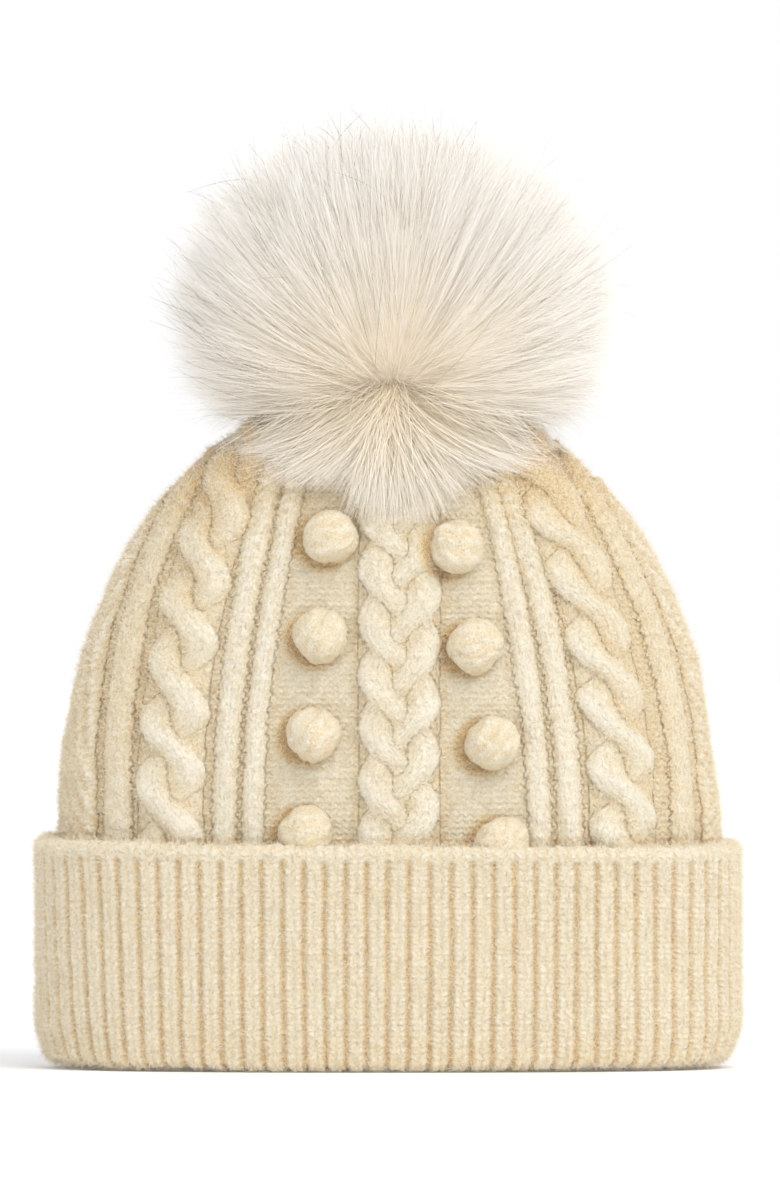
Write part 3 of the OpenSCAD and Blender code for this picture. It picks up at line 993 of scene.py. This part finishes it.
def pile(name, rng, count, root=38 * MM, half_width=0.12 * MM, reach=(0.74, 1.0), favour=None, turned=0.5):
    """The pom's fur: strands that lean away from the whorl and end near the ball's outline.

    With favour, most strands grow on the side of that direction."""
    n = unit(rng.normal(size=(count * 4, 3)))
    n = n[n[:, 2] > LOWEST_ROOT]
    if favour is not None:
        n = n[rng.random(len(n)) < 0.2 + 0.8 * smoothstep(-0.2, 0.8, n @ unit(np.array(favour)))]
    n = n[:count]
    tip_direction = lean_away(n, rng)
    locks = 1 + 0.03 * noise(tip_direction, 0.22, 41) + 0.02 * noise(tip_direction, 0.5, 42)
    share = reach[0] + (reach[1] - reach[0]) * rng.random(len(n)) ** 0.9
    dip = 1 - 0.05 * np.exp(-((from_whorl(tip_direction) / np.radians(16)) ** 2))
    tip_radius = ball_radius(tip_direction) * (share * locks * dip)[:, None]
    spine = flowing(n, tip_direction, root, tip_radius)
    t = np.linspace(0, 1, PILE_STEPS)[None, :]
    spine[..., 2] -= 5 * MM * rng.random((len(n), 1)) * t**2
    return strands(name, rng, crown_push(spine, 4.5 * MM), half_width, turned)


def crown_edge(azimuth, z, margin):
    """Points on the crown's outline at heights z, in the directions of azimuth, 0 at the front."""
    phi = crown_angle(z)
    w, d, _ = dome(phi)
    m = oval_power(phi)
    dx, dy = np.sin(azimuth), -np.cos(azimuth)
    r = (np.abs(dx / (w + margin)) ** m + np.abs(dy / (d + margin)) ** m) ** (-1 / m)
    return np.stack([dx * r, dy * r, z], -1)


def fringe(name, rng, count, half_width=0.12 * MM):
    """Long lower strands that fan out of the whorl, follow the ball and hang over the crown."""
    azimuth = rng.uniform(-math.pi, math.pi, count)
    front = np.exp(-((azimuth / np.radians(95)) ** 6))[:, None]
    locks = vector_noise(np.stack([azimuth, 0 * azimuth, 0 * azimuth], -1), 0.11, 51)
    lowest = (168 + 27 * np.abs(np.sin(azimuth - 0.04)) ** 1.6) * MM
    lowest += 9 * MM * smoothstep(math.radians(50), math.radians(88), np.abs(azimuth))
    tip_z = lowest + 28 * MM * rng.random(count) ** 1.3 + 3.5 * MM * locks[:, 0]
    swing = azimuth + 0.06 * rng.normal(size=count) + 0.06 * locks[:, 1]
    tip = crown_edge(swing, tip_z, (3.5 + 6 * front[:, 0] * rng.random(count)) * MM)
    tip_radius = np.linalg.norm(tip - POM_CENTRE, axis=1)[:, None]
    tip_direction = (tip - POM_CENTRE) / tip_radius

    # In front the roots lie along the way out of the whorl; behind they lie all round the ball's underside
    begun = 0.8 * rng.random((count, 1)) ** 1.2
    way_out = WHORL * (1 - begun) + tip_direction * begun
    below = np.radians(-4 - 38 * rng.random(count))
    around = np.stack([np.sin(azimuth) * np.cos(below), -np.cos(azimuth) * np.cos(below), np.sin(below)], -1)
    start = unit(way_out * front + around * (1 - front) + 0.05 * rng.normal(size=(count, 3)))

    root = (40 + 10 * rng.random((count, 1, 1))) * MM
    t = np.linspace(0, 1, FRINGE_STEPS)[None, :, None]
    direction = unit(start[:, None] * (1 - t) + tip_direction[:, None] * t)
    over = ball_radius(direction) * (0.80 + 0.17 * rng.random((count, 1, 1)))
    surface = over * (1 - t**1.5) + tip_radius[:, None] * t**1.5
    risen = 1 - (1 - t) ** 3
    spine = POM_CENTRE + direction * (root * (1 - risen) + surface * risen)
    return strands(name, rng, crown_push(spine, 4.0 * MM), half_width)


def undercoat(name):
    """The dense woolly fur under the long strands, as one soft lumpy shell, open underneath."""
    n, _, _ = ball_grid(150, 300, lowest=math.radians(128))
    angle = from_whorl(n)
    lumps = 0.03 * noise(n, 0.10, 62) + 0.03 * noise(n, 0.4, 63)
    sunk = 0.12 * np.exp(-((angle / 0.55) ** 2))  # deep in the whorl
    sunk += 0.025 * smoothstep(0.9, 1.6, angle)
    points = POM_CENTRE + n * ball_radius(n) * (UNDERCOAT_SHARE - sunk + 0.3 * lumps)[..., None]
    points = crown_push(points, 3.0 * MM)
    # Painted shade: darker and creamier in the dips between the lumps and round the whorl.
    depth = np.clip(0.35 - 4 * lumps, 0, 1)
    return add_mesh(
        name,
        points,
        grid_faces(n)[:, ::-1],
        {"along": 0.55 - 0.5 * depth, "tone_and_shade": np.clip(depth + 0.8 * np.exp(-(angle**2)), 0, 1)},
    )


def pom_core():
    """The stuffed ball inside the fur: a soft ball with gathers underneath."""
    p, polar, turn = ball_grid(60, 96, lowest=math.pi - 0.01)
    centre = np.array((backing_low + backing_high) / 2)
    radius = (backing_high.x - backing_low.x) / 2
    gathers = 0.02 * np.cos(CORE_GATHERS * turn) * smoothstep(0.3, 0.95, -np.cos(polar))
    bumps = 1 + 0.02 * noise(p, 0.5, 51) + gathers - 0.03
    return add_mesh("pom_stuffed_ball", centre + p * (radius * bumps)[..., None], grid_faces(p))


# ---- Small sewn pieces and the snap ----


def steel_material():
    """Nickel-plated steel with fine rings from its turning, and handling marks."""
    n = Nodes("snap_steel")
    place = n.coordinates((1, 1, 1))
    x, y, z = n.split(place)
    radius = n.math("SQRT", n.math("ADD", n.times(x, x), n.times(y, y)))
    rings = n.math("SINE", n.times(n.math("ADD", radius, z), 2 * math.pi / TURNING_PITCH))
    marks = n.noise(place, 900, detail=3.0, roughness=0.6)
    n.feed(n.shader.inputs["Roughness"], n.math("MULTIPLY_ADD", marks, 0.25, 0.2))
    return n.finish((*STEEL, 1), n.bump(rings, 0.01 * MM, strength=0.5), Metallic=1.0)


def cloth_material(name, colour, thread):
    """Plain woven cloth with threads of a given width."""
    n = Nodes(name)
    x, y, z = n.split(n.coordinates((2 * math.pi / thread,) * 3))
    weave = n.times(n.math("SINE", x), n.math("SINE", n.math("ADD", y, z)))
    shade = n.math("MULTIPLY_ADD", weave, 0.25, 0.3)
    dark = tuple(0.75 * c for c in colour)
    relief = n.bump(weave, 0.08 * MM, strength=0.6)
    return n.finish(n.mix(shade, colour, dark), relief, Roughness=0.85)


def yarn_ring(name, node):
    """A ring of two-ply yarn drawn round a gathered opening, where the CAD ring is."""
    low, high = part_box(node)
    yarn_r = (high.z - low.z) / 2
    ring_r = (high.x - low.x) / 2 - yarn_r
    turn = turns_of(240)[:, None]
    around = turns_of(20)[None, :]
    plies = yarn_r * (0.80 + 0.2 * np.abs(np.cos(around - 12 * turn)))
    r = ring_r + plies * np.cos(around)
    z = (low.z + high.z) / 2 + plies * np.sin(around)
    points = np.stack([r * np.cos(turn), r * np.sin(turn), z], -1)
    points = np.concatenate([points, points[:1]])
    # Painted shade: darker in the grooves between the plies.
    hollow = np.clip(0.25 + 0.6 * (1 - np.concatenate([plies, plies[:1]]) / yarn_r) / 0.2, 0, 1)
    stitch = np.zeros(points.shape)
    faces = grid_faces(points)[:, ::-1]
    return add_mesh(name, points, faces, {"stitch": stitch, "hollow": hollow})


def seam(name):
    """The inside side seam: a soft ridge of joined edges up the wall, stitch by stitch."""
    low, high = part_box("side_seam")
    half_width = (high.y - low.y) / 2
    heights = np.arange(low.z, high.z, 0.5 * MM)
    wall = dome(crown_angle(heights), KNIT_T)[0][:, None]
    angle = turns_of(20)[None, :]
    rows = 1 + 0.14 * np.cos(2 * math.pi * heights / ROW)[:, None]
    ends = smoothstep(0, 4 * MM, np.minimum(heights - low.z, heights[-1] - heights))[:, None]
    x = wall + 0.6 * MM * ends - 1.4 * MM * ends * rows * (1 + np.sin(angle))
    y = half_width * rows * np.cos(angle) * ends
    points = np.stack([x, y, heights[:, None] + 0 * y], -1)
    stitch = np.stack([y / WALE, points[..., 2] / ROW, 0 * y], -1)
    # An even painted shade on the seam, inside the hat.
    hollow = np.full(y.shape, 0.4)
    return add_mesh(name, points, grid_faces(points), {"stitch": stitch, "hollow": hollow})


def knots(name):
    """The two tacking stitches that hold the cuff up: a yarn through it, with a knot sunk in at each end."""
    low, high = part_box("cuff_tacks")
    knot_r = 1.1 * MM  # as on the CAD
    off_seam = high.y - knot_r
    z = (low.z + high.z) / 2
    outside = high.x - 1.6 * MM
    inside = BODY_W - KNIT_T + 0.5 * MM
    along = np.linspace(inside, outside, 40)[:, None]
    angle = turns_of(12)[None, :]
    end = np.minimum(along - inside, outside - along)
    swell = 0.5 * MM + 0.5 * MM * np.exp(-((end / (0.9 * MM)) ** 2))
    radius = swell * np.sqrt(np.clip(end / (0.3 * MM), 0, 1))
    tube = np.stack([along + 0 * angle, off_seam + radius * np.cos(angle), z + radius * np.sin(angle)], -1)
    points = np.concatenate([tube.reshape(-1, 3), tube.reshape(-1, 3) * (-1, -1, 1)])
    faces = grid_faces(tube)
    faces = np.concatenate([faces, faces + tube[..., 0].size])
    # An even painted shade on the yarn of the tacks.
    return add_mesh(name, points, faces, {"stitch": 0 * points, "hollow": np.full(len(points), 0.5)})


def label(name):
    """A satin ribbon label that hangs inside the back by its top edge. Gives it and its width and length."""
    low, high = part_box("care_label")
    width = high.x - low.x
    length = high.z - low.z
    across = np.linspace(low.x, high.x, 30)[None, :]
    down = np.linspace(0, length, 40)[:, None]
    middle = low.y + 0.5 * MM
    y = middle - 0.35 * MM * np.cos(across / width * math.pi) * smoothstep(0, length, down)
    points = np.stack([across + 0 * down, y, high.z - down + 0 * across], -1)
    return add_mesh(name, points, grid_faces(points, around=False)), (width, length)


def base_disc(name):
    """The round of cloth that closes the pom underneath. Gives it, its radius and its area."""
    low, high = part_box("pom_base_cloth")
    outer_r = high.x
    hole_r = 1.6 * MM  # for the socket's post
    r = np.linspace(hole_r, outer_r, 24)[:, None]
    turn = turns_of(96)[None, :]
    z = (low.z + high.z) / 2 + 0.25 * MM * np.sin(9 * turn) * smoothstep(8 * MM, outer_r, r)
    points = np.stack([r * np.cos(turn), r * np.sin(turn), z], -1)
    return add_mesh(name, points, grid_faces(points)), outer_r, math.pi * (outer_r**2 - hole_r**2)


# ---- Build ----

FELT = dict(length=(0.8 * MM, 2.8 * MM), half_width=0.065 * MM, lie=0.66, steps=2)
HALO = dict(length=(2.0 * MM, 5.0 * MM), half_width=0.035 * MM, lie=0.55, steps=4)
BALL_FELT = dict(length=(1.2 * MM, 4.2 * MM), half_width=0.06 * MM, lie=0.8, steps=3)
BALL_FELT_COUNT = 3000  # fibres on each bobble
FUR_LOOK = dict(sheen=0.4, roughness=0.5)
STITCH_GROUPS = ("rope_left", "rope_right", "braid", "ribs_left", "ribs_right", "edge_ribs")
STEEL_NODES = ("snap_stud", "stud_backing_cap", "snap_ring_spring", "snap_socket", "pom_base_cap")


def dress(piece, material, body_name):
    """Gives a piece its material and the body that it moves with."""
    piece.data.materials.append(material)
    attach(piece, body_name)


rng = np.random.default_rng(20)
knit = knit_material("cable_knit_cream")
rib_knit = knit_material("rib_knit_cream", stitch_shade=0.3, stitch_relief=0.5, grain_shade=1.6)

body, body_surface, body_normals = make_body()
dress(body, knit, "hat")
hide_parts("knit_body", *[f"{side}_{group}" for side in ("front", "back") for group in STITCH_GROUPS])

cuff, cuff_surface, cuff_normals = make_cuff()
dress(cuff, rib_knit, "hat")
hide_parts("ribbed_cuff")

bobble_skins = []
for place, behind in (("front", False), ("back", True)):
    for hand, column, foot, seed in (
        ("left", BOBBLES_L, BOBBLE_FOOT_L, 60),
        ("right", BOBBLES_R, BOBBLE_FOOT_R, 90),
    ):
        name = f"{place}_bobbles_{hand}"
        bobbles, skins = make_bobbles(f"{name}_yarn", column, foot, behind, seed + 200 * behind)
        dress(bobbles, knit, "hat")
        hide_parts(name)
        bobble_skins += skins

fuzz_material = fibre_material("knit_fuzz", (0.88, 0.80, 0.62), (0.97, 0.93, 0.83), tone_and_shade_share=0.5)
above_cuff = (body_surface[..., 2] > CUFF_Z - 2 * MM).astype(float)
cuff_row = np.arange(len(cuff_surface))[:, None]
outside_rows = (cuff_row > 26) & (cuff_row < len(cuff_surface) - 10)  # all but its inner walls
cuff_outside = outside_rows * np.ones(cuff_surface.shape[:2])
for name, surface, normals, weight, count, look, slot in (
    ("body_felt", body_surface, body_normals, above_cuff, 180000, FELT, "cable_knit"),
    ("body_halo", body_surface, body_normals, above_cuff, 14000, HALO, "cable_knit"),
    ("cuff_felt", cuff_surface, cuff_normals, cuff_outside, 135000, FELT, "rib_knit"),
    ("cuff_halo", cuff_surface, cuff_normals, cuff_outside, 10000, HALO, "rib_knit"),
):
    places, directions = scatter(rng, surface, normals, count, weight)
    dress(fuzz(name, rng, places, directions, **look), fuzz_material, "hat")

spots = [scatter(rng, skin, grid_normals(skin), BALL_FELT_COUNT) for skin in bobble_skins]
places, directions = (np.concatenate(part) for part in zip(*spots))
dress(fuzz("bobble_felt", rng, places, directions, **BALL_FELT), fuzz_material, "hat")

fur_material = fibre_material(
    "faux_fur_pile", (0.935, 0.87, 0.75), (0.945, 0.945, 0.945), tone_and_shade_share=0.5, glow=0.033, **FUR_LOOK
)
fringe_material = fibre_material(
    "faux_fur_fringe", (0.86, 0.77, 0.60), (0.98, 0.97, 0.94), tone_and_shade_share=0.3, glow=0.038, **FUR_LOOK
)
guard_material = fibre_material(
    "guard_hairs_dark", (0.50, 0.42, 0.32), (0.10, 0.085, 0.075), sheen=0.0, roughness=0.4
)
# Dark brown strands in the fringe: painted shade between its locks, and the brownish hairs seen there.
brown_shadow_material = fibre_material(
    "brown_shadow_hairs", (0.74, 0.63, 0.46), (0.46, 0.34, 0.22), sheen=0.0, roughness=0.5
)
coat = undercoat("pom_undercoat")
fur = pile("pom_fur_pile", rng, 48000)
long_fur = pile("pom_fur_long", rng, 48000, reach=(0.84, 1.03), half_width=0.09 * MM)
wisps = pile("pom_fur_wisps", rng, 9000, root=48 * MM, reach=(0.98, 1.10), half_width=0.05 * MM)
low_fur = fringe("pom_fur_fringe", rng, 30000)
# Dark brown strands that stand in for shade in the fringe, with a few brownish hairs.
brown_shadow_fringe = fringe("pom_fringe_shadow_hairs", rng, 1400, half_width=0.07 * MM)
guard = pile(
    "pom_guard_hairs",
    rng,
    420,
    root=54 * MM,
    reach=(0.98, 1.08),
    half_width=0.08 * MM,
    favour=(-0.7, -0.3, 0.5),
    turned=9.0,
)
for piece, material in (
    (coat, fur_material),
    (fur, fur_material),
    (long_fur, fur_material),
    (wisps, fur_material),
    (low_fur, fringe_material),
    (brown_shadow_fringe, brown_shadow_material),
    (guard, guard_material),
):
    dress(piece, material, "pom_ball")
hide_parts("pom_fur")

core = pom_core()
dress(core, fibre_material("pom_core", (0.84, 0.74, 0.57), (0.9, 0.8, 0.6)), "pom_ball")
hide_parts("pom_backing", "pom_stuffing")

for piece, body_name, node in (
    (yarn_ring("crown_gather_ring", "crown_gather_yarn"), "hat", "crown_gather_yarn"),
    (yarn_ring("pom_gather_ring", "pom_gather_thread"), "pom_ball", "pom_gather_thread"),
    (seam("side_seam_ridge"), "hat", "side_seam"),
    (knots("cuff_tack_knots"), "hat", "cuff_tacks"),
):
    dress(piece, rib_knit, body_name)
    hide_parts(node)

ribbon, ribbon_flat = label("care_label_ribbon")
dress(ribbon, cloth_material("label_satin", (0.88, 0.86, 0.80), thread=0.25 * MM), "hat")
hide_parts("care_label")

disc, disc_r, disc_area = base_disc("pom_base_disc")
base_cloth = cloth_material("base_cloth_weave", (0.80, 0.72, 0.58), thread=0.5 * MM)
dress(disc, base_cloth, "pom_base")
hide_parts("pom_base_cloth")

steel = steel_material()
for node in STEEL_NODES:
    for material_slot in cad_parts[node].material_slots:
        material_slot.material = steel

# ---- Floor and light ----


def make_floor():
    """A plain white floor that runs far out of view."""
    size = 20.0
    floor = add_mesh(
        "floor",
        [(-size, -size, 0), (size, -size, 0), (size, size, 0), (-size, size, 0)],
        [(0, 1, 2, 3)],
    )
    white = Nodes("floor_white").finish(
        (0.93, 0.93, 0.935, 1),
        Roughness=0.9,
        Specular_IOR_Level=0.1,
        Emission_Color=(1, 1, 1, 1),
        Emission_Strength=0.1,
    )
    floor.data.materials.append(white)


def aim(light, place, target):
    light.location = place
    light.rotation_mode = "QUATERNION"
    light.rotation_quaternion = (Vector(target) - Vector(place)).to_track_quat("-Z", "Y")
    bpy.context.scene.collection.objects.link(light)


def make_lights():
    """One very soft, wide light from the upper right of the front, as from a large studio screen."""
    data = bpy.data.lights.new("screen", "SUN")
    data.energy = 1.76  # watts on a square metre
    data.angle = math.radians(50)
    data.color = (1.0, 0.985, 0.96)
    aim(bpy.data.objects.new("screen", data), place=(0.58, -0.95, 1.18), target=(0, 0, 0.12))


def make_world():
    """A studio that is white at the horizon and dimmer overhead."""
    world = bpy.data.worlds.new("studio")
    world.use_nodes = True
    tree = world.node_tree
    place = tree.nodes.new("ShaderNodeTexCoord")
    split = tree.nodes.new("ShaderNodeSeparateXYZ")
    ramp = tree.nodes.new("ShaderNodeValToRGB")
    tree.links.new(place.outputs["Generated"], split.inputs[0])
    tree.links.new(split.outputs["Z"], ramp.inputs[0])
    low, high = ramp.color_ramp.elements
    low.position, low.color = 0.10, (1.0, 1.0, 1.0, 1)
    high.position, high.color = 0.45, (0.74, 0.75, 0.77, 1)
    tree.links.new(ramp.outputs[0], tree.nodes["Background"].inputs["Color"])
    bpy.context.scene.world = world


make_floor()
make_world()
make_lights()
bpy.context.scene.view_settings.view_transform = "Standard"
